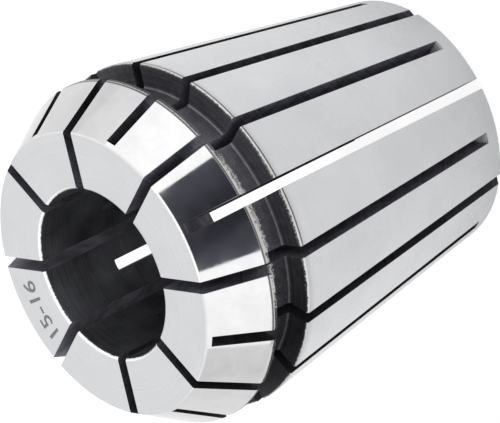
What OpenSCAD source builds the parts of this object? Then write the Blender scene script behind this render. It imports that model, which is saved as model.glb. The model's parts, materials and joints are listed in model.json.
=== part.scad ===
// Spring collet: one turned steel sleeve with a slow taper on its body, a steep
// cone on its nose and a nut groove between the two. Saw slits enter from both
// ends in turn, so the sleeve closes evenly on a round shank.
// It stands on its rear face, with the bore's axis on Z and the nose upwards.

/* [Body] */
// Length from the rear face to the nose face
collet_l = 40; // [36:0.5:44]
// Diameter where the body taper meets the nut groove
body_d = 33; // [32:0.5:36]
// Angle between the body taper and the axis
body_angle = 8; // [6:0.5:9]
// Flat on the taper's edge at the nut groove
body_edge = 0.2; // [0.1:0.05:0.5]
// Chamfer round the outside of the rear face
rear_chamfer = 1; // [0.2:0.1:1.2]

/* [Nose] */
// Length from the nut groove to the nose face
nose_l = 5.6; // [4.5:0.1:7]
// Diameter of the nose at its rim
rim_d = 32.6; // [31.5:0.1:35]
// Length of the straight rim between the groove and the cone
rim_l = 0.45; // [0.2:0.05:1]
// Angle between the nose cone and the axis
nose_angle = 30; // [25:1:35]
// Flat on the edge between the cone and the nose face
face_edge = 0.1; // [0.05:0.05:0.5]

/* [Nut groove] */
// Width of the groove
groove_w = 3.6; // [3:0.1:5]
// Diameter of the groove's floor
groove_d = 28.4; // [26:0.1:30]
// Relief left in each corner of the floor
groove_corner = 0.3; // [0.1:0.1:0.6]

/* [Bore] */
// Diameter of the bore
bore_d = 16; // [10:0.5:18]
// Chamfer at the bore's mouth in the nose face
mouth_chamfer = 0.2; // [0.1:0.05:0.6]
// Chamfer at the bore's rear end
tail_chamfer = 0.5; // [0.2:0.1:0.8]

/* [Slits] */
// Slits from each end, with those of the other end midway between them
slits_per_end = 8; // [4:1:8]
// Width of a slit
slit_w = 1.05; // [0.8:0.05:1.3]
// Depth of metal left behind a front slit, at the rear face
rear_web = 2.5; // [1.5:0.1:4]
// Depth of metal left at the nose face where a rear slit comes out on the cone
nose_web_outside = 0.4; // [0.35:0.05:1.2]
// Depth of metal left at the nose face where a rear slit comes out in the bore
nose_web_inside = 7.7; // [5:0.1:9]
// Diameter of the saw that leaves the run-out between those two depths
saw_d = 63; // [50:1:80]

/* [Hidden] */
$fn = 128;

// Heights above the rear face
groove_top = collet_l - nose_l;
groove_bottom = groove_top - groove_w;
rim_top = groove_top + rim_l;

// Radii
bore_r = bore_d / 2;
body_r = body_d / 2;
rim_r = rim_d / 2;
floor_r = groove_d / 2;
rear_r = body_r - groove_bottom * tan(body_angle);
face_r = rim_r - (collet_l - rim_top) * tan(nose_angle);

// Room that every cutter has beyond the metal it removes
clear = 1;
slit_pitch = 360 / slits_per_end;

// The saw's edge passes through both ends of the run-out, and its centre lies
// outside the body, on the side of the rear face
saw_r = saw_d / 2;
runout_outside = [face_r + nose_web_outside * tan(nose_angle), collet_l - nose_web_outside];
runout_inside = [bore_r, collet_l - nose_web_inside];
runout_chord = runout_outside - runout_inside;
saw_rise = sqrt(saw_r * saw_r - runout_chord * runout_chord / 4);
saw_side = [runout_chord.y, -runout_chord.x] / norm(runout_chord);
saw_centre = (runout_outside + runout_inside) / 2 + saw_rise * saw_side;

// Half section of the turned sleeve: x is the radius and y the height
module section() {
    polygon([
        [bore_r + tail_chamfer, 0],
        [rear_r - rear_chamfer, 0],
        [rear_r + rear_chamfer * tan(body_angle), rear_chamfer],
        [body_r - body_edge * tan(body_angle), groove_bottom - body_edge],
        [body_r - body_edge, groove_bottom],
        [floor_r + groove_corner, groove_bottom],
        [floor_r, groove_bottom + groove_corner],
        [floor_r, groove_top - groove_corner],
        [floor_r + groove_corner, groove_top],
        [rim_r, groove_top],
        [rim_r, rim_top],
        [face_r + face_edge * sin(nose_angle), collet_l - face_edge * cos(nose_angle)],
        [face_r - face_edge, collet_l],
        [bore_r + mouth_chamfer, collet_l],
        [bore_r, collet_l - mouth_chamfer],
        [bore_r, tail_chamfer]
    ]);
}

// Stands a flat cut up on edge in the plane through the axis, as thick as a slit
module saw_kerf() {
    rotate([90, 0, 0])
        linear_extrude(height = slit_w, center = true)
            children();
}

// Strip from inside the bore to outside the body, between two heights
module cut_strip(low, high) {
    translate([bore_r / 2, low])
        square([max(body_r, rim_r) + clear - bore_r / 2, high - low]);
}

// Open at the rear face, with the saw's round run-out in the nose
module rear_slit() {
    saw_kerf() {
        cut_strip(-clear, saw_centre.y);
        intersection() {
            translate(saw_centre)
                circle(r = saw_r);
            cut_strip(-clear, collet_l + clear);
        }
    }
}

// Open at the nose face, and square across the wall at its closed end
module front_slit() {
    saw_kerf()
        cut_strip(rear_web, collet_l + clear);
}

module collet() {
    color([0.80, 0.81, 0.82])
        difference() {
            rotate_extrude()
                section();
            for (i = [0 : slits_per_end - 1]) {
                rotate([0, 0, i * slit_pitch])
                    rear_slit();
                rotate([0, 0, (i + 0.5) * slit_pitch])
                    front_slit();
            }
        }
}

collet();
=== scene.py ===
"""Dresses the spring collet: a slit, ground steel sleeve on a white floor.

The file is laid out as an add-on and is run as a script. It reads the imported
frame only, and every size is in metres in that frame: the bore's axis on Z, the
rear face at zero height and the nose upwards.
"""

import json
import math

import bmesh
import bpy
from bpy.props import FloatProperty, FloatVectorProperty, IntProperty, PointerProperty, StringProperty
from bpy.types import Operator, Panel, PropertyGroup
from mathutils import Matrix, Vector
from mathutils.geometry import intersect_point_line


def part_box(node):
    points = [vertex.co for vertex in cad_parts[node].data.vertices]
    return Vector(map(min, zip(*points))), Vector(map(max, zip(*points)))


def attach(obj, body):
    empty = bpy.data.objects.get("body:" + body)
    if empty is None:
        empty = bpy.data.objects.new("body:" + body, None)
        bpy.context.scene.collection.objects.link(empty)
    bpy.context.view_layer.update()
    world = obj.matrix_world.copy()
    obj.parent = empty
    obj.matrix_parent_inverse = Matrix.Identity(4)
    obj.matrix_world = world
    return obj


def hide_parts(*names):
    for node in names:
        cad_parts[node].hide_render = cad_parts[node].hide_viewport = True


bl_info = {
    "name": "Spring Collet",
    "version": (1, 0, 0),
    "blender": (4, 5, 0),
    "location": "View3D > Sidebar > Collet",
    "description": "Builds a slit spring collet with its ground and sawn finishes",
    "category": "Add Mesh",
}

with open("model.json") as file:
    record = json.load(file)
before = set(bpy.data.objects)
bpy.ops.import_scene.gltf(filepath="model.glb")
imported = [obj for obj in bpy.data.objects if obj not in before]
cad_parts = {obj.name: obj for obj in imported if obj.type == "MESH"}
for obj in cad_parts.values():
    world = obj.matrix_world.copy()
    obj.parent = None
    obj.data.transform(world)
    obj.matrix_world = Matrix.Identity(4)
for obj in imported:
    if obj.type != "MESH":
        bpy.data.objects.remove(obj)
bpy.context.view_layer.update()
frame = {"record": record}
COLLET_LOW, COLLET_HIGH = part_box("collet")
MOUNTS = {mount["name"]: mount for mount in frame["record"]["mounts"]}
MM = 0.001
MARK_RISE = 0.005 * MM  # how far the size mark's oxide stands above the nose face
CLEAR = 1 * MM  # room that every cut has beyond the metal it removes
SAME_PLACE = 0.002 * MM  # corners that are closer than this are one
FLAT = math.radians(0.05)  # faces that turn by less than this are one
SHARP = math.radians(22)  # faces that turn by more than this meet at a sharp edge
AT_CORNER = math.radians(60)  # rounded faces that turn by less than this share a corner's normal
SPREAD = {"From Min": 0.3, "From Max": 0.7}  # nearly all of a noise texture's values lie between these
SUM_SPREAD = {"From Min": 0.75, "From Max": 1.25}  # and nearly all sums of two such textures between these
WEAR_AND_PAINTED_LIGHT_SIDE = (-0.174, -0.985, 0)  # the way that the front side faces: it has the most wear, and the painted shade, reflection and highlight
MIDDLE = (0, 0, 20 * MM)  # the point that the lights and the card face
FRONT = -90.5  # azimuth of the card, and midway between the two lower lights
BOX_HEIGHT = 0.40
SOFT_BOXES = (  # name, azimuth and elevation in degrees, distance and width in metres, and radiance
    ("soft_box_left", FRONT - 56, 18, 0.48, 0.52, 0.35),
    ("soft_box_right", FRONT + 56, 18, 0.48, 0.52, 0.35),
    ("soft_box_above", 90, 80, 0.50, 0.40, 0.3),
)
CARD_WIDTH, CARD_HEIGHT, CARD_SHIFT = 0.448, 0.084, 0.0125
CARD_ELEVATION, CARD_DISTANCE = 22, 0.42


def linear(hex_colour):
    """An sRGB hex colour as linear red, green and blue."""
    parts = [int(hex_colour[i:i + 2], 16) / 255 for i in (1, 3, 5)]
    return tuple(p / 12.92 if p <= 0.04045 else ((p + 0.055) / 1.055) ** 2.4 for p in parts)


def length_prop(name, description, default):
    return FloatProperty(name=name, description=description, default=default, min=0, unit="LENGTH", precision=5)


def angle_prop(name, description, degrees):
    return FloatProperty(name=name, description=description, default=math.radians(degrees), subtype="ANGLE")


def colour_prop(name, description, hex_colour):
    return FloatVectorProperty(name=name, description=description, default=linear(hex_colour),
                               subtype="COLOR", size=3, min=0, max=1)


class ColletSizes(PropertyGroup):
    """Sizes of the sleeve, from its rear face to its nose."""
    length: length_prop("Length", "Rear face to nose face", COLLET_HIGH.z - COLLET_LOW.z - MARK_RISE)
    body_diameter: length_prop("Body", "Diameter where the body taper meets the groove", 33 * MM)
    body_angle: angle_prop("Body angle", "Angle between the body taper and the axis", 8)
    body_edge: length_prop("Body edge", "Flat on the taper's edge at the groove", 0.2 * MM)
    rear_chamfer: length_prop("Rear chamfer", "Chamfer round the outside of the rear face", 1 * MM)
    nose_length: length_prop("Nose", "Groove to nose face", 5.6 * MM)
    rim_diameter: length_prop("Rim", "Diameter of the nose at its rim", 32.6 * MM)
    rim_length: length_prop("Rim length", "Straight rim between the groove and the cone", 0.45 * MM)
    nose_angle: angle_prop("Nose angle", "Angle between the nose cone and the axis", 30)
    face_edge: length_prop("Face edge", "Flat between the cone and the nose face", 0.1 * MM)
    groove_width: length_prop("Groove width", "Width of the nut groove", 3.6 * MM)
    groove_diameter: length_prop("Groove floor", "Diameter of the groove's floor", 28.4 * MM)
    bore_radius: length_prop("Bore radius", "Radius of the bore", MOUNTS["bore"]["dims"]["r_mm"] * MM)
    mouth_chamfer: length_prop("Mouth chamfer", "Chamfer of the bore at the nose face", 0.2 * MM)
    tail_chamfer: length_prop("Tail chamfer", "Chamfer of the bore at the rear face", 0.5 * MM)
    slits_per_end: IntProperty(name="Slits", description="Slits from each end", default=8, min=4, max=8)
    slit_width: length_prop("Slit", "Width of a slit", 1.05 * MM)
    far_turn: angle_prop("Far slit", "Turn of the slit opposite the camera from its even place", -1.65)
    rear_web: length_prop("Rear web", "Metal behind a front slit, at the rear face", 2.5 * MM)
    nose_web_outside: length_prop("Web outside", "Nose face to a rear slit's end on the cone", 0.4 * MM)
    nose_web_inside: length_prop("Web inside", "Nose face to a rear slit's end in the bore", 7.7 * MM)
    saw_diameter: length_prop("Saw", "Diameter of the saw that leaves the run-out", 63 * MM)
    rim_round: length_prop("Rim round", "Rounding where the cone meets the rim, to each side", 0.18 * MM)
    mouth_round: length_prop("Mouth round", "Rounding of the bore's mouth, to each side", 0.12 * MM)
    groove_round: length_prop("Groove round", "Rounding in the corners of the groove, to each side", 0.28 * MM)
    round_steps: IntProperty(name="Rounding steps", description="Facets in each rounding", default=7, min=1)
    edge_break: length_prop("Edge break", "Rounding of the sharp edges", 0.035 * MM)
    facets: IntProperty(name="Facets", description="Facets between neighbouring slits", default=7, min=4)


class ColletFinish(PropertyGroup):
    """Colours of the steel and sizes of its marks."""
    taper: colour_prop("Taper", "Ground steel of the body", "#DFE0E2")
    cone: colour_prop("Cone", "Fine-ground steel of the nose cone", "#D8D8D9")
    face: colour_prop("Faces", "Ground steel of the nose face and the rear end", "#C9CACC")
    scale_cool: colour_prop("Scale", "Dark heat-treatment scale", "#4F4F56")
    scale_warm: colour_prop("Warm scale", "Scale where it is thinner", "#565153")
    scale_rubbed: colour_prop("Rubbed scale", "Scale worn through to the steel", "#C6C5C4")
    mouth: colour_prop("Mouth", "Bright chamfer of the bore's mouth", "#F2F2F2")
    # Painted reflection of the white floor on the groove's floor, and the light edge of the groove's rear wall,
    # partly rubbed scale and partly painted highlight
    painted_reflection_and_rubbed_edge: colour_prop("Rubbed floor", "Groove's floor where the nut's ring has rubbed it", "#C3C0BD")
    sawn: colour_prop("Sawn steel", "Walls of the slits, with scale on them", "#65656F")
    # Painted light: a lighter copy of the sawn steel, for the light that falls on the closed ends of the front
    # slits
    slit_end_painted_lit: colour_prop("Slit ends", "Bare sawn steel at the closed ends of the front slits", "#BFC0C2")
    run_out: colour_prop("Saw run-outs", "Closed ends of the rear slits, under thin scale", "#827F89")
    bore: colour_prop("Bore", "Wall of the bore", "#6E6F74")
    mark: colour_prop("Size mark", "Strokes on the nose face", "#77787A")
    grinding_line: length_prop("Grinding lines", "Spacing at which the grinding lines are drawn", 0.2 * MM)
    turning_line: length_prop("Turning lines", "Spacing of the turning lines in groove and bore", 0.25 * MM)
    saw_line: length_prop("Saw lines", "Spacing of the saw's marks", 0.35 * MM)
    cloud: length_prop("Clouds", "Size of the faint clouds on the ground steel", 5 * MM)
    flake: length_prop("Flakes", "Size of the flakes in which scale wears off", 0.2 * MM)
    patch: length_prop("Patches", "Size of the patches in the scale on the slits' walls", 1.5 * MM)
    edge_line: length_prop("Edge lines", "Width of the dark lines left beside the groove's two edges", 0.12 * MM)


class ColletMark(PropertyGroup):
    """The size mark on the nose face."""
    text: StringProperty(name="Numbers", description="Smallest and largest shank in millimetres", default="15-16")
    azimuth: angle_prop("Azimuth", "Middle of the mark, from +X", 90.6)
    radius: length_prop("Radius", "From the bore's axis to the foot of the numbers", 10.12 * MM)
    height: length_prop("Height", "Height of the numbers", 1.74 * MM)
    span: length_prop("Span", "Length of the mark along its foot", 5.1 * MM)
    depth: length_prop("Depth", "How deep the strokes reach below the face", 0.02 * MM)
    boldness: FloatProperty(name="Boldness", description="Extra weight of the strokes", default=0.01, min=0)


class ColletStage(PropertyGroup):
    """The camera, and the colours of the floor and the dark card."""
    azimuth: angle_prop("Azimuth", "Direction from the aim to the camera, from +X", -90.70)
    elevation: angle_prop("Elevation", "Height of the camera above the aim, as an angle", 37.845)
    roll: angle_prop("Roll", "Turn of the camera about its own axis", -116.645)
    distance: length_prop("Distance", "From the aim to the camera", 330.57 * MM)
    aim: FloatVectorProperty(name="Aim", description="Point that the camera looks at", size=3, unit="LENGTH",
                             default=(-0.921 * MM, 0.012 * MM, 21.987 * MM))
    lens: FloatProperty(name="Lens", description="Focal length", default=261.62, unit="CAMERA")
    floor: colour_prop("Floor", "Floor and backdrop", "#FFFFFF")
    card: colour_prop("Card", "Middle of the dark card that the nose cone mirrors", "#34353D")
    card_sides: colour_prop("Card's sides", "Dark card towards its two sides", "#565862")


# What each surface is finished as, in the order of the sleeve's materials
TAPER, CONE, FACE, RIM, EDGE, MOUTH, GROOVE, BORE, SAWN, END, RUN_OUT = range(11)
IN_SLITS = (SAWN, END, RUN_OUT)


def heights(s):
    """Heights of the groove's rear wall, of its nose side and of the rim's edge at the cone."""
    groove_top = s.length - s.nose_length
    return groove_top - s.groove_width, groove_top, groove_top + s.rim_length


def face_radius(s):
    """Radius at which the nose cone comes to the nose face."""
    return s.rim_diameter / 2 - (s.length - heights(s)[2]) * math.tan(s.nose_angle)


def half_section(s):
    """Corners of the turned half section: radius, height, finish of the surface that follows, and rounding."""
    groove_bottom, groove_top, rim_top = heights(s)
    body_r, rim_r, floor_r, face_r = s.body_diameter / 2, s.rim_diameter / 2, s.groove_diameter / 2, face_radius(s)
    rear_r = body_r - groove_bottom * math.tan(s.body_angle)
    return [
        (s.bore_radius + s.tail_chamfer, 0, FACE, 0),
        (rear_r - s.rear_chamfer, 0, FACE, 0),
        (rear_r + s.rear_chamfer * math.tan(s.body_angle), s.rear_chamfer, TAPER, 0),
        (body_r - s.body_edge * math.tan(s.body_angle), groove_bottom - s.body_edge, EDGE, 0),
        (body_r - s.body_edge, groove_bottom, GROOVE, 0),
        (floor_r, groove_bottom, GROOVE, s.groove_round),
        (floor_r, groove_top, GROOVE, s.groove_round),
        (rim_r, groove_top, RIM, 0),
        (rim_r, rim_top, CONE, s.rim_round),
        (face_r + s.face_edge * math.sin(s.nose_angle), s.length - s.face_edge * math.cos(s.nose_angle), CONE, 0),
        (face_r - s.face_edge, s.length, FACE, 0),
        (s.bore_radius + s.mouth_chamfer, s.length, MOUTH, s.mouth_round),
        (s.bore_radius, s.length - s.mouth_chamfer, BORE, 0),
        (s.bore_radius, s.tail_chamfer, FACE, 0),
    ]


def turn_blank(s):
    """The sleeve as it leaves the lathe: the half section spun round the bore's axis."""
    corners = half_section(s)
    bm = bmesh.new()
    verts = [bm.verts.new((r, 0, z)) for r, z, _, _ in corners]
    for i in range(len(verts)):
        bm.edges.new((verts[i - 1], verts[i]))
    for vert, (_, _, _, rounding) in zip(verts, corners):
        if rounding:
            bmesh.ops.bevel(bm, geom=[vert], offset=rounding, affect="VERTICES", segments=s.round_steps,
                            profile=0.5, material=-1)
    bmesh.ops.spin(bm, geom=bm.verts[:] + bm.edges[:], cent=(0, 0, 0), axis=(0, 0, 1), angle=math.tau,
                   steps=2 * s.slits_per_end * s.facets, use_merge=True, use_duplicate=False)
    ends = [Vector((r, z, 0)) for r, z, _, _ in corners]
    for face in bm.faces:
        centre = face.calc_center_median()
        place = Vector((math.hypot(centre.x, centre.y), centre.z, 0))
        away = []
        for i, (_, _, finish, _) in enumerate(corners):
            start, end = ends[i], ends[(i + 1) % len(ends)]
            part = min(max(intersect_point_line(place, start, end)[1], 0), 1)
            away.append(((start.lerp(end, part) - place).length, finish))
        face.material_index = min(away)[1]
    bmesh.ops.recalc_face_normals(bm, faces=bm.faces)
    return bm


def saw_centre(s):
    """Where the saw stands when it has cut a rear slit to its full depth, as radius and height."""
    outside = Vector((face_radius(s) + s.nose_web_outside * math.tan(s.nose_angle), s.length - s.nose_web_outside))
    inside = Vector((s.bore_radius, s.length - s.nose_web_inside))
    chord = outside - inside
    rise = math.sqrt((s.saw_diameter / 2) ** 2 - chord.length_squared / 4)
    return (outside + inside) / 2 + rise * Vector((chord.y, -chord.x)).normalized()


def thicken_cut(bm, faces, width):
    """Gives a flat cut in the plane of X and Z the saw's thickness."""
    bmesh.ops.translate(bm, verts=list({v for f in faces for v in f.verts}), vec=(0, -width / 2, 0))
    grown = bmesh.ops.extrude_face_region(bm, geom=faces)["geom"]
    bmesh.ops.translate(bm, verts=[g for g in grown if isinstance(g, bmesh.types.BMVert)], vec=(0, width, 0))


def ring_of_cuts(bm, first_angle, count):
    """Turns one cut to its place and repeats it round the axis."""
    bmesh.ops.rotate(bm, verts=bm.verts, cent=(0, 0, 0), matrix=Matrix.Rotation(first_angle, 3, "Z"))
    bmesh.ops.spin(bm, geom=bm.verts[:] + bm.edges[:] + bm.faces[:], cent=(0, 0, 0), axis=(0, 0, 1),
                   angle=math.tau * (count - 1) / count, steps=count - 1, use_duplicate=True)


def rear_cuts(s):
    """The slits that are open at the rear face, each with the saw's round run-out in the nose."""
    inside, outside = s.bore_radius / 2, s.rim_diameter / 2 + CLEAR
    centre, saw_r = saw_centre(s), s.saw_diameter / 2
    start, end = (math.acos(max(-1, (radius - centre.x) / saw_r)) for radius in (outside, inside))
    bm = bmesh.new()
    first = bm.verts.new((outside, 0, centre.y + saw_r * math.sin(start)))
    bmesh.ops.spin(bm, geom=[first], cent=(centre.x, 0, centre.y), axis=(0, -1, 0), angle=end - start, steps=32)
    grown = bmesh.ops.extrude_edge_only(bm, edges=bm.edges[:])["geom"]
    for item in grown:
        if isinstance(item, bmesh.types.BMVert):
            item.co.z = -CLEAR
    thicken_cut(bm, bmesh.ops.dissolve_faces(bm, faces=bm.faces[:])["region"], s.slit_width)
    bm.normal_update()
    for face in bm.faces:
        face.material_index = SAWN if abs(face.normal.y) > 0.5 else RUN_OUT
    ring_of_cuts(bm, 0, s.slits_per_end)
    # The slit on the far side sits a little off its even place, so light comes through past both walls
    far = [v for v in bm.verts if v.co.y > 0 and abs(v.co.x) < s.slit_width]
    bmesh.ops.rotate(bm, verts=far, cent=(0, 0, 0), matrix=Matrix.Rotation(s.far_turn, 3, "Z"))
    return bm


def front_cuts(s):
    """The slits that are open at the nose face, square across the wall at their closed ends."""
    inside, outside = s.bore_radius / 2, s.body_diameter / 2 + CLEAR
    height = s.length + CLEAR - s.rear_web
    bm = bmesh.new()
    bmesh.ops.create_cube(bm, size=1)
    bmesh.ops.scale(bm, verts=bm.verts, vec=(outside - inside, s.slit_width, height))
    bmesh.ops.translate(bm, verts=bm.verts, vec=((outside + inside) / 2, 0, s.rear_web + height / 2))
    bm.normal_update()
    for face in bm.faces:
        face.material_index = END if face.normal.z < -0.5 else SAWN
    ring_of_cuts(bm, math.pi / s.slits_per_end, s.slits_per_end)
    return bm


def object_from(bm, name):
    """A linked object that holds the bmesh."""
    mesh = bpy.data.meshes.new(name)
    bm.to_mesh(mesh)
    bm.free()
    piece = bpy.data.objects.new(name, mesh)
    bpy.context.scene.collection.objects.link(piece)
    return piece


def saw(blank, cutter):
    """Takes the cutter's cuts out of the blank and removes the cutter."""
    for material in blank.data.materials:
        cutter.data.materials.append(material)
    cut = blank.modifiers.new("Saw", "BOOLEAN")
    cut.operation, cut.solver, cut.object = "DIFFERENCE", "EXACT", cutter
    cut.material_mode = "INDEX"
    apply_modifiers(blank)
    bpy.data.objects.remove(cutter)


def apply_modifiers(piece):
    """Replaces the piece's mesh by what its modifiers make of it."""
    bpy.context.view_layer.update()
    made = bpy.data.meshes.new_from_object(piece.evaluated_get(bpy.context.evaluated_depsgraph_get()))
    old = piece.data
    piece.modifiers.clear()
    piece.data = made
    bpy.data.meshes.remove(old)


def break_edges(piece, s):
    """Rounds the sharp edges a little, as deburring does, and gives each surface its exact normals.

    The edges at the closed ends of the slits, which a deburring tool doesn't reach, stay sharp.
    """
    bm = bmesh.new()
    bm.from_mesh(piece.data)
    bmesh.ops.remove_doubles(bm, verts=bm.verts, dist=SAME_PLACE)
    bmesh.ops.dissolve_limit(bm, angle_limit=FLAT, verts=bm.verts, edges=bm.edges, delimit={"MATERIAL"})
    ends = {f for f in bm.faces if f.material_index in IN_SLITS and abs(f.normal.z) > 0.1}
    sharp = [e for e in bm.edges if e.is_manifold and e.calc_face_angle() > SHARP
             and ends.isdisjoint(e.link_faces)]
    broken = set(bmesh.ops.bevel(bm, geom=sharp, offset=s.edge_break, offset_type="OFFSET", affect="EDGES",
                                 segments=2, profile=0.5, material=-1, clamp_overlap=True,
                                 loop_slide=True)["faces"])
    bmesh.ops.recalc_face_normals(bm, faces=bm.faces)
    normals = []
    for face in bm.faces:
        face.smooth = True
        for loop in face.loops:
            normals.append(exact_normal(loop.vert, face, broken))
    bm.to_mesh(piece.data)
    bm.free()
    piece.data.normals_split_custom_set(normals)


def turned_normal(face, vert):
    """The face's normal at one of its corners, turned round the bore's axis if the face is a turned one."""
    if face.material_index in IN_SLITS:
        return face.normal
    radial = Vector((face.normal.x, face.normal.y))
    outward = Vector((vert.co.x, vert.co.y))
    if radial.length < 1e-4 or outward.length < 1e-6:
        return face.normal
    outward = outward.normalized() * math.copysign(radial.length, radial.dot(outward))
    return Vector((outward.x, outward.y, face.normal.z))


def exact_normal(vert, face, broken):
    """Large faces keep the turned surface's own normal, and a broken edge blends from one to the next."""
    large = [f for f in vert.link_faces if f not in broken]
    if face in broken:
        if large:
            face = min(large, key=lambda f: face.normal.angle(f.normal))
        else:
            near = [f for f in vert.link_faces if f.normal.angle(face.normal) < AT_CORNER]
            return sum((f.normal * f.calc_area() for f in near), Vector()).normalized()
    near = [f for f in large if (f.material_index in IN_SLITS) == (face.material_index in IN_SLITS)
            and turned_normal(f, vert).angle(turned_normal(face, vert)) < SHARP]
    return sum((turned_normal(f, vert) for f in near), Vector()).normalized()


def add_node(tree, kind, inputs=None, **settings):
    """Adds a node: settings are its properties, and inputs maps its sockets to values, or to what they link to.

    That is another node's output, or the node itself, for the first output that its settings leave in use.
    """
    node = tree.nodes.new(kind)
    for name, value in settings.items():
        setattr(node, name, value)
    for name, value in (inputs or {}).items():
        if isinstance(value, bpy.types.Node):
            value = next(output for output in value.outputs if output.enabled)
        if isinstance(value, bpy.types.NodeSocket):
            tree.links.new(value, node.inputs[name])
        else:
            node.inputs[name].default_value = value
    return node


def new_material(name):
    """An empty node material and its tree."""
    material = bpy.data.materials.new(name)
    material.use_nodes = True
    material.node_tree.nodes.clear()
    return material, material.node_tree


def new_surface(name):
    """An empty node material, its tree, and the place of each point on its piece."""
    material, tree = new_material(name)
    return material, tree, add_node(tree, "ShaderNodeTexCoord").outputs["Object"]


def steel_shader(tree, lines, strength, depth, sockets):
    """Ends a finish: steel with the given sockets, and relief from a tool's lines or from flakes."""
    relief = add_node(tree, "ShaderNodeBump", {"Height": lines, "Strength": strength, "Distance": depth})
    shader = add_node(tree, "ShaderNodeBsdfPrincipled", {"Normal": relief, **sockets})
    add_node(tree, "ShaderNodeOutputMaterial", {"Surface": shader})


def toned(tree, colour, *levels):
    """A colour that several levels together make lighter or darker."""
    level = levels[0]
    for other in levels[1:]:
        level = add_node(tree, "ShaderNodeMath", {0: level, 1: other}, operation="MULTIPLY")
    return add_node(tree, "ShaderNodeVectorMath", {0: colour, "Scale": level}, operation="SCALE")


def off_axis(tree, place):
    """How far a point lies from the bore's axis."""
    flat = add_node(tree, "ShaderNodeVectorMath", {0: place, 1: (1, 1, 0)}, operation="MULTIPLY")
    return add_node(tree, "ShaderNodeVectorMath", {0: flat}, operation="LENGTH")


def by_distance(tree, value, middle, near, far):
    """A level that changes as a value moves off a middle: near and far are a distance and the level there."""
    off = add_node(tree, "ShaderNodeMath", {0: value, 1: middle}, operation="SUBTRACT")
    away = add_node(tree, "ShaderNodeMath", {0: off}, operation="ABSOLUTE")
    return add_node(tree, "ShaderNodeMapRange", {"Value": away, "From Min": near[0], "From Max": far[0],
                                                 "To Min": near[1], "To Max": far[1]})


def band(tree, height, rear, nose, low, high):
    """A level that is high in a band of heights: rear and nose are where it is low, and where it is high."""
    sides = [add_node(tree, "ShaderNodeMapRange", {"Value": height, "From Min": start, "From Max": end,
                                                   "To Min": low, "To Max": high}) for start, end in (rear, nose)]
    return add_node(tree, "ShaderNodeMath", {0: sides[0], 1: sides[1]}, operation="MINIMUM")


def tool_lines(tree, along, spacing):
    """Uneven lines that a tool left, at a spacing along a length."""
    spaced = add_node(tree, "ShaderNodeMath", {0: along, 1: 1 / spacing}, operation="MULTIPLY")
    line = add_node(tree, "ShaderNodeCombineXYZ", {"Z": spaced})
    return add_node(tree, "ShaderNodeTexNoise", {"Vector": line, "Scale": 1.0, "Detail": 2.0})


def on_wear_and_painted_light_side(tree, place, near, far):
    """1 on the front side, which has the most wear and the painted shade, reflection and highlight, fading to 0
    between two distances towards it from the bore's axis.
    """
    toward = add_node(tree, "ShaderNodeVectorMath", {0: place, 1: WEAR_AND_PAINTED_LIGHT_SIDE}, operation="DOT_PRODUCT")
    return add_node(tree, "ShaderNodeMapRange", {"Value": toward, "From Min": far, "From Max": near})


def scale_line(tree, finish, place, edge, ragged, dark, clean, full, none):
    """The ragged height, and how bare the steel is, at the line of scale where the wheel ran out at an edge.

    Ragged, dark and clean are in widths of the line: how far it wanders, and where it is dark and where the steel
    is clean, from the edge. It is full from one X and gone from the other, where the grinding went deeper.
    """
    flakes = add_node(tree, "ShaderNodeTexNoise", {"Vector": place, "Scale": 1 / finish.flake, "Detail": 3.0})
    height = add_node(tree, "ShaderNodeSeparateXYZ", {0: place})
    wander = add_node(tree, "ShaderNodeMath", {0: flakes, 1: ragged * finish.edge_line, 2: height.outputs["Z"]},
                      operation="MULTIPLY_ADD")
    bare = add_node(tree, "ShaderNodeMapRange", {"Value": wander, "From Min": edge + dark * finish.edge_line,
                                                 "From Max": edge + clean * finish.edge_line, "To Min": 0.2},
                    interpolation_type="SMOOTHSTEP")
    deep = add_node(tree, "ShaderNodeMapRange", {"Value": height.outputs["X"], "From Min": full, "From Max": none})
    return wander, add_node(tree, "ShaderNodeMath", {0: bare, 1: deep}, operation="MAXIMUM")


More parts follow.
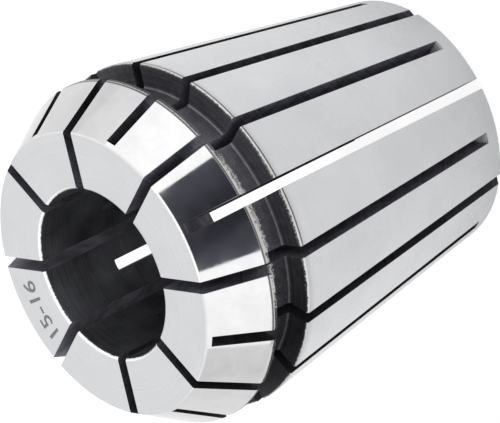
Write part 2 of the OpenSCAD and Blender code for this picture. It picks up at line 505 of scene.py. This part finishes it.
def ground_taper(finish, groove_edge):
    """Ground spring steel: satin, with fine lines round the body, faint clouds, and painted shade on the front
    side and towards the rear.
    """
    material, tree, place = new_surface("ground_spring_steel")
    # The wheel leaves lines round the body. Real ones are 0.02 mm apart, and these are drawn ten times as coarse.
    across = add_node(tree, "ShaderNodeMapping", {"Vector": place, "Scale": (25, 25, 1 / finish.grinding_line)})
    lines = add_node(tree, "ShaderNodeTexNoise", {"Vector": across, "Scale": 1.0, "Detail": 3.0})
    clouds = add_node(tree, "ShaderNodeTexNoise", {"Vector": place, "Scale": 1 / finish.cloud, "Detail": 2.0})
    both = add_node(tree, "ShaderNodeMath", {0: lines, 1: 0.3, 2: clouds}, operation="MULTIPLY_ADD")
    tone = add_node(tree, "ShaderNodeMapRange", {"Value": both, "From Min": 0.4, "From Max": 0.9, "To Min": 0.95,
                                                 "To Max": 1.05})
    # The wheel ran a little shallow all round but for the side of -X, and left scale along the groove's edge
    wander, line = scale_line(tree, finish, place, groove_edge, ragged=1.0, dark=-0.2, clean=-1.5,
                              full=-4.5 * MM, none=-7 * MM)
    worn = add_node(tree, "ShaderNodeMapRange", {"Value": wander, "From Min": groove_edge - 6 * finish.edge_line,
                                                 "From Max": groove_edge, "To Min": 1.0, "To Max": 0.82})
    # Painted shade: the taper is darker on the front side, and towards the rear face, where it mirrors the
    # collet's shadow on the floor
    front = add_node(tree, "ShaderNodeMapRange", {"Value": on_wear_and_painted_light_side(tree, place, 14 * MM, 11 * MM),
                                                  "To Min": 0.98, "To Max": 0.91})
    height = add_node(tree, "ShaderNodeSeparateXYZ", {0: place})
    rear = add_node(tree, "ShaderNodeMapRange", {"Value": height.outputs["Z"], "From Min": 2 * MM,
                                                 "From Max": 12 * MM, "To Min": 0.9})
    colour = toned(tree, finish.taper, tone, line, worn, front, rear)
    satin = add_node(tree, "ShaderNodeMapRange", {"Value": clouds, **SPREAD, "To Min": 0.24, "To Max": 0.31})
    steel_shader(tree, lines, 0.05, 0.01 * MM, {"Base Color": colour, "Metallic": 1.0, "Roughness": satin})
    return material


def ground_cone(finish, rim_edge):
    """Fine-ground spring steel: close to a mirror, with faint smears of polish."""
    material, tree, place = new_surface("fine_ground_spring_steel")
    # A finer wheel, with lines 0.01 mm apart, drawn ten times as coarse and very shallow
    across = add_node(tree, "ShaderNodeMapping", {"Vector": place, "Scale": (60, 60, 2 / finish.grinding_line)})
    lines = add_node(tree, "ShaderNodeTexNoise", {"Vector": across, "Scale": 1.0, "Detail": 2.0})
    smears = add_node(tree, "ShaderNodeTexNoise", {"Vector": place, "Scale": 2 / finish.cloud, "Detail": 4.0,
                                                   "Roughness": 0.6, "Distortion": 0.4})
    tone = add_node(tree, "ShaderNodeMapRange", {"Value": smears, **SPREAD, "To Min": 0.93, "To Max": 1.05})
    # It left scale along the rim too, all round but for the side of -X
    line = scale_line(tree, finish, place, rim_edge, ragged=-0.5, dark=0.4, clean=1.2, full=-11 * MM,
                      none=-12.5 * MM)[1]
    colour = toned(tree, finish.cone, tone, line)
    gloss = add_node(tree, "ShaderNodeMapRange", {"Value": smears, **SPREAD, "To Min": 0.05, "To Max": 0.10})
    steel_shader(tree, lines, 0.06, 0.004 * MM, {"Base Color": colour, "Metallic": 1.0, "Roughness": gloss})
    return material


def ground_face(finish):
    """Face-ground spring steel: satin, with fine rings round the bore."""
    material, tree, place = new_surface("face_ground_spring_steel")
    # Rings 0.02 mm apart on the real face, drawn five times as coarse, and broken up along their length
    ring = add_node(tree, "ShaderNodeMath", {0: off_axis(tree, place), 1: 2 / finish.grinding_line},
                    operation="MULTIPLY")
    along = add_node(tree, "ShaderNodeMapping", {"Vector": place, "Scale": (120, 120, 120)})
    across = add_node(tree, "ShaderNodeCombineXYZ", {"Z": ring})
    both = add_node(tree, "ShaderNodeVectorMath", {0: along, 1: across}, operation="ADD")
    rings = add_node(tree, "ShaderNodeTexNoise", {"Vector": both, "Scale": 1.0, "Detail": 2.0})
    clouds = add_node(tree, "ShaderNodeTexNoise", {"Vector": place, "Scale": 1.5 / finish.cloud, "Detail": 4.0})
    total = add_node(tree, "ShaderNodeMath", {0: rings, 1: clouds}, operation="ADD")
    tone = add_node(tree, "ShaderNodeMapRange", {"Value": total, "From Min": 0.7, "From Max": 1.3, "To Min": 0.965,
                                                 "To Max": 1.035})
    colour = toned(tree, finish.face, tone)
    satin = add_node(tree, "ShaderNodeMapRange", {"Value": clouds, **SPREAD, "To Min": 0.22, "To Max": 0.3})
    steel_shader(tree, rings, 0.08, 0.005 * MM, {"Base Color": colour, "Metallic": 1.0, "Roughness": satin})
    return material


def scale_colour(tree, finish, place):
    """The colour of heat-treatment scale: cool dark grey, with warmer patches where it is thin, and painted shade
    away from the side of +X.
    """
    patches = add_node(tree, "ShaderNodeTexNoise", {"Vector": place, "Scale": 0.25 / finish.flake, "Detail": 5.0,
                                                    "Roughness": 0.6})
    warm = add_node(tree, "ShaderNodeMapRange", {"Value": patches, "From Min": 0.45, "From Max": 0.7})
    tint = add_node(tree, "ShaderNodeMix", {"Factor": warm, "A": (*finish.scale_cool, 1),
                                            "B": (*finish.scale_warm, 1)}, data_type="RGBA")
    tone = add_node(tree, "ShaderNodeMapRange", {"Value": patches, **SPREAD, "To Min": 0.8, "To Max": 1.2})
    # Painted shade: it is lightest a little to the side of +X, and darker away from there, most of all towards -X,
    # where little light falls
    across = add_node(tree, "ShaderNodeSeparateXYZ", {0: place})
    black = by_distance(tree, across.outputs["X"], 5 * MM, near=(0, 1.5), far=(17 * MM, 0.3))
    return toned(tree, tint, tone, black)


def bare_share(tree, finish, place, worn):
    """The flakes, and how much scale has come off the steel: none where worn is 0, most at 1, all from 1.5 up."""
    flakes = add_node(tree, "ShaderNodeTexNoise", {"Vector": place, "Scale": 1 / finish.flake, "Detail": 5.0,
                                                   "Roughness": 0.65})
    level = add_node(tree, "ShaderNodeMath", {0: flakes, 1: 5.0, 2: worn}, operation="MULTIPLY_ADD")
    return flakes, add_node(tree, "ShaderNodeMapRange", {"Value": level, "From Min": 3.1, "From Max": 3.9},
                            interpolation_type="SMOOTHSTEP")


def rubbed_scale(finish, name, dark_z, bright_z, radius, lean, steel):
    """Heat-treatment scale worn through to the steel in a line at one height, and in flakes as far as the other.

    The line is at bright_z, and the lean is how much more is worn off on the side with the most wear.
    """
    material, tree, place = new_surface(name)
    height = add_node(tree, "ShaderNodeSeparateXYZ", {0: place})
    line = math.copysign(finish.edge_line, dark_z - bright_z)
    rubbed = add_node(tree, "ShaderNodeMapRange", {"Value": height.outputs["Z"], "From Min": dark_z,
                                                   "From Max": bright_z, "To Max": 0.4})
    bright = add_node(tree, "ShaderNodeMapRange", {"Value": height.outputs["Z"], "From Min": bright_z + 1.5 * line,
                                                   "From Max": bright_z + 0.5 * line, "To Max": 1.6})
    front = add_node(tree, "ShaderNodeMath", {0: on_wear_and_painted_light_side(tree, place, 0.951 * radius, 0.875 * radius),
                                              1: lean, 2: rubbed}, operation="MULTIPLY_ADD")
    worn = add_node(tree, "ShaderNodeMath", {0: front, 1: bright}, operation="ADD")
    flakes, bare = bare_share(tree, finish, place, worn)
    colour = add_node(tree, "ShaderNodeMix", {"Factor": bare, "A": scale_colour(tree, finish, place),
                                              "B": (*steel, 1)}, data_type="RGBA")
    rough = add_node(tree, "ShaderNodeMapRange", {"Value": bare, "To Min": 0.45, "To Max": 0.28})
    steel_shader(tree, flakes, 0.25, 0.01 * MM, {"Base Color": colour, "Metallic": 0.8, "Roughness": rough})
    return material


def scaled_groove(finish, s):
    """Turned steel under dark heat-treatment scale: near black, with a dull sheen on its turning lines, a painted
    highlight in its corner and a painted reflection on its floor.
    """
    material, tree, place = new_surface("heat_treatment_scale")
    groove_bottom, groove_top, _ = heights(s)
    wall_r, floor_r = s.body_diameter / 2 - s.body_edge, s.groove_diameter / 2
    out = off_axis(tree, place)
    height = add_node(tree, "ShaderNodeSeparateXYZ", {0: place})
    # Radius less height changes alike along the floor and the walls, so it spaces the turning lines on both
    step = add_node(tree, "ShaderNodeMath", {0: out, 1: height.outputs["Z"]}, operation="SUBTRACT")
    lines = tool_lines(tree, step, finish.turning_line)
    streak = add_node(tree, "ShaderNodeMapRange", {"Value": lines, **SPREAD, "To Min": 0.7, "To Max": 1.35})
    # Painted highlight: the corner beside the rear wall, rounded by the tool's nose, is made lighter
    smooth = by_distance(tree, step, floor_r - groove_bottom, near=(0.06 * MM, 1.7), far=(0.2 * MM, 1.0))
    streaked = toned(tree, scale_colour(tree, finish, place), streak, smooth)
    # Painted reflection: a light band round the floor on the front side, where it mirrors the white floor. The
    # outer edge of the groove's rear wall is light on the front side too, partly rubbed scale and partly a painted
    # highlight
    floor = band(tree, height.outputs["Z"], (groove_top - 2.1 * MM, groove_top - 1.7 * MM),
                 (groove_top - 1.2 * MM, groove_top - 1.7 * MM), 0, 1.5)
    wall = add_node(tree, "ShaderNodeMapRange", {"Value": out, "From Min": wall_r - 0.25 * MM, "From Max": wall_r,
                                                 "To Max": 1.3})
    floor_front = on_wear_and_painted_light_side(tree, place, 0.914 * floor_r, 0.79 * floor_r)
    wall_front = on_wear_and_painted_light_side(tree, place, 0.96 * wall_r, 0.86 * wall_r)
    on_floor = add_node(tree, "ShaderNodeMath", {0: floor, 1: floor_front}, operation="MULTIPLY")
    on_wall = add_node(tree, "ShaderNodeMath", {0: wall, 1: wall_front}, operation="MULTIPLY")
    worn = add_node(tree, "ShaderNodeMath", {0: on_floor, 1: on_wall}, operation="MAXIMUM")
    colour = add_node(tree, "ShaderNodeMix", {"Factor": bare_share(tree, finish, place, worn)[1], "A": streaked,
                                              "B": (*finish.painted_reflection_and_rubbed_edge, 1)}, data_type="RGBA")
    dull = add_node(tree, "ShaderNodeMapRange", {"Value": lines, **SPREAD, "To Min": 0.34, "To Max": 0.5})
    steel_shader(tree, lines, 0.5, 0.02 * MM, {"Base Color": colour, "Metallic": 0.4, "Specular IOR Level": 0.25,
                                               "Roughness": dull})
    return material


def turned_bore(finish):
    """Bored steel, dulled by heat treatment: a darker satin with turning lines round the wall."""
    material, tree, place = new_surface("bored_spring_steel")
    across = add_node(tree, "ShaderNodeMapping", {"Vector": place, "Scale": (15, 15, 1.6 / finish.turning_line)})
    lines = add_node(tree, "ShaderNodeTexNoise", {"Vector": across, "Scale": 1.0, "Detail": 3.0})
    clouds = add_node(tree, "ShaderNodeTexNoise", {"Vector": place, "Scale": 1.5 / finish.cloud, "Detail": 4.0})
    both = add_node(tree, "ShaderNodeMath", {0: lines, 1: clouds}, operation="ADD")
    tone = add_node(tree, "ShaderNodeMapRange", {"Value": both, **SUM_SPREAD, "To Min": 0.55, "To Max": 1.5})
    colour = toned(tree, finish.bore, tone)
    rough = add_node(tree, "ShaderNodeMapRange", {"Value": clouds, **SPREAD, "To Min": 0.30, "To Max": 0.40})
    steel_shader(tree, lines, 0.4, 0.02 * MM, {"Base Color": colour, "Metallic": 0.75, "Roughness": rough})
    return material


def sawn_walls(finish, s, name, steel, metallic):
    """Sawn steel: dull, with the arcs that the saw's teeth left."""
    material, tree, place = new_surface(name)
    groove_bottom, groove_top, _ = heights(s)
    height = add_node(tree, "ShaderNodeSeparateXYZ", {0: place})
    # An arc of the saw stands at the height of its centre plus its rise at this radius
    side = add_node(tree, "ShaderNodeMath", {0: off_axis(tree, place), 1: saw_centre(s).x}, operation="SUBTRACT")
    square = add_node(tree, "ShaderNodeMath", {0: side, 1: side}, operation="MULTIPLY")
    under = add_node(tree, "ShaderNodeMath", {0: (s.saw_diameter / 2) ** 2, 1: square}, operation="SUBTRACT")
    rise = add_node(tree, "ShaderNodeMath", {0: under}, operation="SQRT")
    arc = add_node(tree, "ShaderNodeMath", {0: height.outputs["Z"], 1: rise}, operation="SUBTRACT")
    lines = tool_lines(tree, arc, finish.saw_line)
    patches = add_node(tree, "ShaderNodeTexNoise", {"Vector": place, "Scale": 1 / finish.patch, "Detail": 4.0})
    both = add_node(tree, "ShaderNodeMath", {0: lines, 1: patches}, operation="ADD")
    tone = add_node(tree, "ShaderNodeMapRange", {"Value": both, **SUM_SPREAD, "To Min": 0.5, "To Max": 1.6})
    # The thin metal under the groove cooled fastest: its scale is thinner, and the steel shows through
    thin = band(tree, height.outputs["Z"], (groove_bottom - 1 * MM, groove_bottom + 1 * MM),
                (groove_top + 1 * MM, groove_top), 1, 2)
    # It is blackest in the slits at the sides, and less so towards +X under the groove
    middle = add_node(tree, "ShaderNodeMath", {0: thin, 1: 2 * MM, 2: -1 * MM}, operation="MULTIPLY_ADD")
    black = by_distance(tree, height.outputs["X"], middle, near=(5 * MM, 1.3), far=(13 * MM, 0.16))
    colour = toned(tree, steel, tone, thin, black)
    steel_shader(tree, lines, 0.5, 0.03 * MM, {"Base Color": colour, "Metallic": metallic, "Roughness": 0.52,
                                               "Specular IOR Level": 0.3})
    return material


def laser_mark(finish):
    """Laser-marked steel: the strokes are dark oxide, dull and a little uneven."""
    material, tree, place = new_surface("laser_marked_steel")
    grain = add_node(tree, "ShaderNodeTexNoise", {"Vector": place, "Scale": 1 / finish.flake, "Detail": 3.0})
    tone = add_node(tree, "ShaderNodeMapRange", {"Value": grain, **SPREAD, "To Min": 0.6, "To Max": 1.4})
    shader = add_node(tree, "ShaderNodeBsdfPrincipled", {"Base Color": toned(tree, finish.mark, tone),
                                                         "Metallic": 0.3, "Roughness": 0.6})
    add_node(tree, "ShaderNodeOutputMaterial", {"Surface": shader})
    return material


def bent_numbers(mark, s):
    """The numbers as flat strokes, bent round the bore's axis with their tops outwards."""
    text = bpy.data.curves.new("size_mark", "FONT")
    text.body, text.size, text.extrude, text.offset = mark.text, 1, 0.5, mark.boldness
    letters = bpy.data.objects.new("size_mark", text)
    bpy.context.scene.collection.objects.link(letters)
    bpy.context.view_layer.update()
    made = bpy.data.meshes.new_from_object(letters.evaluated_get(bpy.context.evaluated_depsgraph_get()))
    bpy.data.objects.remove(letters)
    bm = bmesh.new()
    bm.from_mesh(made)
    bpy.data.meshes.remove(made)
    bmesh.ops.remove_doubles(bm, verts=bm.verts, dist=1e-5)
    low = [min(v.co[i] for v in bm.verts) for i in range(3)]
    high = [max(v.co[i] for v in bm.verts) for i in range(3)]
    for v in bm.verts:
        x, y, z = ((v.co[i] - low[i]) / (high[i] - low[i]) for i in range(3))
        angle = mark.azimuth + (0.5 - x) * mark.span / mark.radius
        radius = mark.radius + y * mark.height
        height = s.length + MARK_RISE - (1 - z) * mark.depth
        v.co = (radius * math.cos(angle), radius * math.sin(angle), height)
    bmesh.ops.recalc_face_normals(bm, faces=bm.faces)
    return bm


class COLLET_OT_size_mark(Operator):
    """Mark the shank sizes on the nose face"""
    bl_idname = "collet.size_mark"
    bl_label = "Size Mark"

    def execute(self, context):
        mark = object_from(bent_numbers(context.scene.collet_mark, context.scene.collet_sizes), "size_mark")
        mark.data.materials.append(laser_mark(context.scene.collet_finish))
        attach(mark, "root")
        return {"FINISHED"}


class COLLET_OT_sleeve(Operator):
    """Turn the sleeve, saw its slits and give each surface its finish"""
    bl_idname = "collet.sleeve"
    bl_label = "Sleeve"

    def execute(self, context):
        s, finish = context.scene.collet_sizes, context.scene.collet_finish
        sleeve = object_from(turn_blank(s), "slit_sleeve")
        groove_bottom, groove_top, rim_top = heights(s)
        body_end = groove_bottom - s.body_edge
        for material in (ground_taper(finish, body_end), ground_cone(finish, rim_top), ground_face(finish),
                         rubbed_scale(finish, "scale_rubbed_on_rim", groove_top, rim_top, s.rim_diameter / 2, 1.1,
                                      finish.scale_rubbed),
                         rubbed_scale(finish, "scale_rubbed_off_edge", groove_bottom, body_end,
                                      s.body_diameter / 2, 0.4, finish.scale_rubbed),
                         rubbed_scale(finish, "scale_rubbed_at_mouth", s.length - s.mouth_chamfer,
                                      s.length - 0.5 * finish.edge_line, s.bore_radius, 0.0, finish.mouth),
                         scaled_groove(finish, s), turned_bore(finish),
                         sawn_walls(finish, s, "sawn_scaled_steel", finish.sawn, 0.5),
                         # Painted light: the closed ends of the front slits get a lighter copy of the sawn steel,
                         # as if lit
                         sawn_walls(finish, s, "sawn_steel_painted_lit", finish.slit_end_painted_lit, 0.3),
                         sawn_walls(finish, s, "saw_run_out_steel", finish.run_out, 0.5)):
            sleeve.data.materials.append(material)
        for bm in (rear_cuts(s), front_cuts(s)):
            bmesh.ops.recalc_face_normals(bm, faces=bm.faces)
            saw(sleeve, object_from(bm, "cutter"))
        break_edges(sleeve, s)
        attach(sleeve, "root")
        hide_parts("collet")
        return {"FINISHED"}


class COLLET_OT_stage(Operator):
    """Lay the floor, hang the lights and set up the camera"""
    bl_idname = "collet.stage"
    bl_label = "Stage"

    def execute(self, context):
        stage = context.scene.collet_stage
        make_floor(stage)
        make_world(stage)
        make_lights()
        make_card(stage)
        make_camera(stage)
        context.scene.view_settings.view_transform = "Standard"
        return {"FINISHED"}


def make_floor(stage):
    """A wide white floor that keeps the collet's shadow."""
    bm = bmesh.new()
    bmesh.ops.create_grid(bm, x_segments=1, y_segments=1, size=4)
    floor = object_from(bm, "floor")
    material, tree = new_material("white_floor")
    # To the camera, and through the slits, most of it glows, and a little of it does in metal
    path = add_node(tree, "ShaderNodeLightPath")
    through = add_node(tree, "ShaderNodeMath", {0: path.outputs["Is Camera Ray"],
                                                1: path.outputs["Is Transmission Ray"]}, operation="MAXIMUM")
    seen = add_node(tree, "ShaderNodeMath", {0: through, 1: 0.76}, operation="MULTIPLY")
    mirrored = add_node(tree, "ShaderNodeMath", {0: path.outputs["Is Glossy Ray"], 1: 0.09}, operation="MULTIPLY")
    share = add_node(tree, "ShaderNodeMath", {0: seen, 1: mirrored}, operation="MAXIMUM")
    paper = add_node(tree, "ShaderNodeBsdfDiffuse", {"Color": (*stage.floor, 1)})
    glow = add_node(tree, "ShaderNodeEmission", {"Color": (*stage.floor, 1), "Strength": 1.2})
    mix = add_node(tree, "ShaderNodeMixShader", {"Fac": share, 1: paper, 2: glow})
    add_node(tree, "ShaderNodeOutputMaterial", {"Surface": mix})
    floor.data.materials.append(material)


def make_world(stage):
    """A white surround, a little brighter in metal overhead and on the right, as a lit studio is."""
    world = bpy.data.worlds.new("white_surround")
    world.use_nodes = True
    tree = world.node_tree
    tree.nodes.clear()
    # It goes from 0.92 at eye level to 1.2 overhead in metal, lights the scene at 0.87, and is white to the camera
    path = add_node(tree, "ShaderNodeLightPath")
    way = add_node(tree, "ShaderNodeTexCoord").outputs["Generated"]
    bright = add_node(tree, "ShaderNodeVectorMath", {0: way, 1: (0.07, 0, 0.43)}, operation="DOT_PRODUCT")
    level = add_node(tree, "ShaderNodeMath", {0: bright, 1: 0.28}, operation="MINIMUM")
    mirrored = add_node(tree, "ShaderNodeMath", {0: level, 1: 0.92}, operation="ADD")
    glossy = add_node(tree, "ShaderNodeMix", {"Factor": path.outputs["Is Glossy Ray"], "A": 0.87, "B": mirrored})
    strength = add_node(tree, "ShaderNodeMix", {"Factor": path.outputs["Is Camera Ray"], "A": glossy, "B": 1.0})
    shade = add_node(tree, "ShaderNodeBackground", {"Color": (*stage.floor, 1), "Strength": strength})
    add_node(tree, "ShaderNodeOutputWorld", {"Surface": shade})
    bpy.context.scene.world = world


def pointing(place, target=MIDDLE):
    """The turn that points an object's -Z from place to target."""
    return (Vector(target) - Vector(place)).to_track_quat("-Z", "Y")


def around(azimuth, elevation, distance, centre=MIDDLE):
    """A place at an angle round the collet, in degrees and metres."""
    a, e = math.radians(azimuth), math.radians(elevation)
    return Vector(centre) + distance * Vector((math.cos(e) * math.cos(a), math.cos(e) * math.sin(a), math.sin(e)))


def make_lights():
    """Soft boxes either side of the camera and overhead."""
    for name, azimuth, elevation, distance, width, radiance in SOFT_BOXES:
        light = bpy.data.lights.new(name, "AREA")
        light.shape, light.size, light.size_y = "RECTANGLE", width, BOX_HEIGHT
        light.energy = radiance * math.pi * width * BOX_HEIGHT
        lamp = bpy.data.objects.new(name, light)
        lamp.location = around(azimuth, elevation, distance)
        lamp.rotation_mode = "QUATERNION"
        lamp.rotation_quaternion = pointing(lamp.location)
        lamp.visible_camera = False
        bpy.context.scene.collection.objects.link(lamp)


def make_card(stage):
    """A dark card behind the camera. The nose cone mirrors it as a dark field with sharp sides."""
    bm = bmesh.new()
    bmesh.ops.create_grid(bm, x_segments=1, y_segments=1, size=0.5)
    bmesh.ops.scale(bm, verts=bm.verts, vec=(CARD_WIDTH, CARD_HEIGHT, 1))
    bmesh.ops.translate(bm, verts=bm.verts, vec=(CARD_SHIFT, 0, 0))
    stand = around(FRONT, CARD_ELEVATION, CARD_DISTANCE)
    turn = pointing(stand).to_matrix().to_4x4()
    bmesh.ops.transform(bm, matrix=Matrix.Translation(stand) @ turn, verts=bm.verts)
    card = object_from(bm, "dark_card")
    # Darkest in the middle and lighter towards its sides
    material, tree, place = new_surface("dark_card")
    across = add_node(tree, "ShaderNodeSeparateXYZ", {0: place})
    part = by_distance(tree, across.outputs["X"], 0, near=(0.05, 0), far=(0.245, 1))
    colour = add_node(tree, "ShaderNodeMix", {"Factor": part, "A": (*stage.card, 1), "B": (*stage.card_sides, 1)},
                      data_type="RGBA")
    glow = add_node(tree, "ShaderNodeEmission", {"Color": colour, "Strength": 1.0})
    add_node(tree, "ShaderNodeOutputMaterial", {"Surface": glow})
    card.data.materials.append(material)
    card.visible_camera = False


def make_camera(stage):
    """The photograph's viewpoint, with the camera turned so that the nose points down to the left."""
    data = bpy.data.cameras.new("camera")
    data.lens, data.sensor_width = stage.lens, 36
    data.clip_start, data.clip_end = 0.01, 20
    camera = bpy.data.objects.new("camera", data)
    place = around(math.degrees(stage.azimuth), math.degrees(stage.elevation), stage.distance, stage.aim)
    turn = pointing(place, stage.aim).to_matrix().to_4x4() @ Matrix.Rotation(stage.roll, 4, "Z")
    camera.matrix_world = Matrix.Translation(place) @ turn
    bpy.context.scene.collection.objects.link(camera)
    bpy.context.scene.camera = camera


class COLLET_PT_panel(Panel):
    """Lists the pieces of the collet and its stage"""
    bl_idname = "COLLET_PT_panel"
    bl_label = "Spring Collet"
    bl_space_type = "VIEW_3D"
    bl_region_type = "UI"
    bl_category = "Collet"

    def draw(self, context):
        layout = self.layout
        for operator in (COLLET_OT_sleeve, COLLET_OT_size_mark, COLLET_OT_stage):
            layout.operator(operator.bl_idname)
        for name in GROUPS:
            group, box = getattr(context.scene, name), layout.box()
            for setting in group.bl_rna.properties.keys():
                if setting not in ("rna_type", "name"):
                    box.prop(group, setting)


GROUPS = {"collet_sizes": ColletSizes, "collet_finish": ColletFinish, "collet_mark": ColletMark,
          "collet_stage": ColletStage}
CLASSES = (*GROUPS.values(), COLLET_OT_sleeve, COLLET_OT_size_mark, COLLET_OT_stage, COLLET_PT_panel)


def register():
    for cls in CLASSES:
        bpy.utils.register_class(cls)
    for name, group in GROUPS.items():
        setattr(bpy.types.Scene, name, PointerProperty(type=group))


def unregister():
    for name in GROUPS:
        delattr(bpy.types.Scene, name)
    for cls in reversed(CLASSES):
        bpy.utils.unregister_class(cls)


def main():
    register()
    bpy.ops.collet.sleeve()
    bpy.ops.collet.size_mark()
    bpy.ops.collet.stage()


if __name__ == "__main__":
    main()
